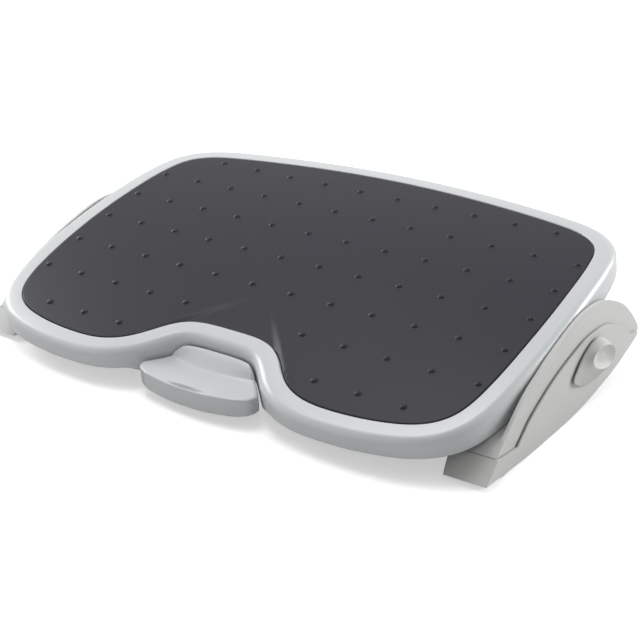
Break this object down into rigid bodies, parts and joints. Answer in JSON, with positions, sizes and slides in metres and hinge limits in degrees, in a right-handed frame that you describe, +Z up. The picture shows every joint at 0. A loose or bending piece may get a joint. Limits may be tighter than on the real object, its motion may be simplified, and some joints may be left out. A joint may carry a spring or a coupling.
{
  "type": "tilting under desk footrest",
  "caption": "Free-standing footrest: a matted platform on two swinging side arms, with a front foot pedal and side clamp knobs.",
  "frame": {"origin": "on the floor, under the middle of the footrest's bounding box at its lowest setting", "axes": "+X to the user's right across the platform, +Y away from the user to the raised back edge, +Z up"},
  "size_m": [0.5622, 0.3574, 0.1195],
  "materials": {
    "platform_moulding": "satin moulded plastic, cool light grey",
    "side_moulding": "fine satin moulded plastic, light grey",
    "mat_rubber": "fine matt moulded rubber, charcoal",
    "foot_rubber": "matt rubber, black",
    "bar_steel": "bright drawn steel",
    "fastener_steel": "zinc plated steel, dull",
    "nylon": "natural nylon"
  },
  "bodies": {
    "base": {"cheek_right": "side_moulding", "cheek_left": "side_moulding", "foot_pad_front_right": "foot_rubber", "foot_pad_front_left": "foot_rubber", "foot_pad_rear_right": "foot_rubber", "foot_pad_rear_left": "foot_rubber", "friction_washer_right": "nylon", "friction_washer_left": "nylon", "crossbar_screw_front_right": "fastener_steel", "crossbar_screw_front_left": "fastener_steel", "crossbar_screw_rear_right": "fastener_steel", "crossbar_screw_rear_left": "fastener_steel", "crossbar_front": "bar_steel", "crossbar_rear": "bar_steel", "pivot_rod": "bar_steel", "pivot_spacer_tube": "fastener_steel"},
    "yoke": {"arm_right": "side_moulding", "arm_left": "side_moulding", "arm_bush_right": "nylon", "arm_bush_left": "nylon", "yoke_screw_right": "fastener_steel", "yoke_screw_left": "fastener_steel", "yoke_tube": "bar_steel", "tilt_quadrant_right": "fastener_steel", "tilt_quadrant_left": "fastener_steel"},
    "platform": {"platform_shell": "platform_moulding", "foot_mat": "mat_rubber", "hinge_pin_right": "bar_steel", "hinge_pin_left": "bar_steel", "pedal_pin": "bar_steel", "lock_spring": "fastener_steel"},
    "pedal": {"pedal": "platform_moulding"},
    "lock_bar": {"lock_bar": "bar_steel", "lock_pawl_right": "fastener_steel", "lock_pawl_left": "fastener_steel"},
    "knob_right": {"knob_right": "side_moulding", "knob_nut_right": "bar_steel"},
    "knob_left": {"knob_left": "side_moulding", "knob_nut_left": "bar_steel"}
  },
  "joints": [
    {"name": "yoke_raise", "type": "hinge", "parent": "base", "child": "yoke", "pos_m": [0, 0.02938, 0.043], "axis": [-1, 0, 0], "range_deg": [0, 15]},
    {"name": "platform_tilt", "type": "hinge", "parent": "yoke", "child": "platform", "pos_m": [0, -0.15463, 0.02685], "axis": [1, 0, 0], "range_deg": [0, 15.7]},
    {"name": "pedal_press", "type": "hinge", "parent": "platform", "child": "pedal", "pos_m": [0, -0.11853, 0.03502], "axis": [1, 0, 0], "range_deg": [0, 4.5], "stiffness_Nm_per_rad": 4, "springref_deg": -2.86},
    {"name": "lock_bar_turn", "type": "hinge", "parent": "platform", "child": "lock_bar", "pos_m": [0, -0.10935, 0.04355], "axis": [1, 0, 0], "range_deg": [0, 10.8], "stiffness_Nm_per_rad": 0.2, "springref_deg": -11.46},
    {"name": "knob_right_turn", "type": "hinge", "parent": "base", "child": "knob_right", "pos_m": [0.27, 0.02938, 0.043], "axis": [1, 0, 0], "range_deg": [0, 120]},
    {"name": "knob_left_turn", "type": "hinge", "parent": "base", "child": "knob_left", "pos_m": [-0.27, 0.02938, 0.043], "axis": [-1, 0, 0], "range_deg": [0, 120]}
  ],
  "couplings": [
    {"joint": "lock_bar_turn", "follows": "pedal_press", "ratio": 2.4}
  ]
}
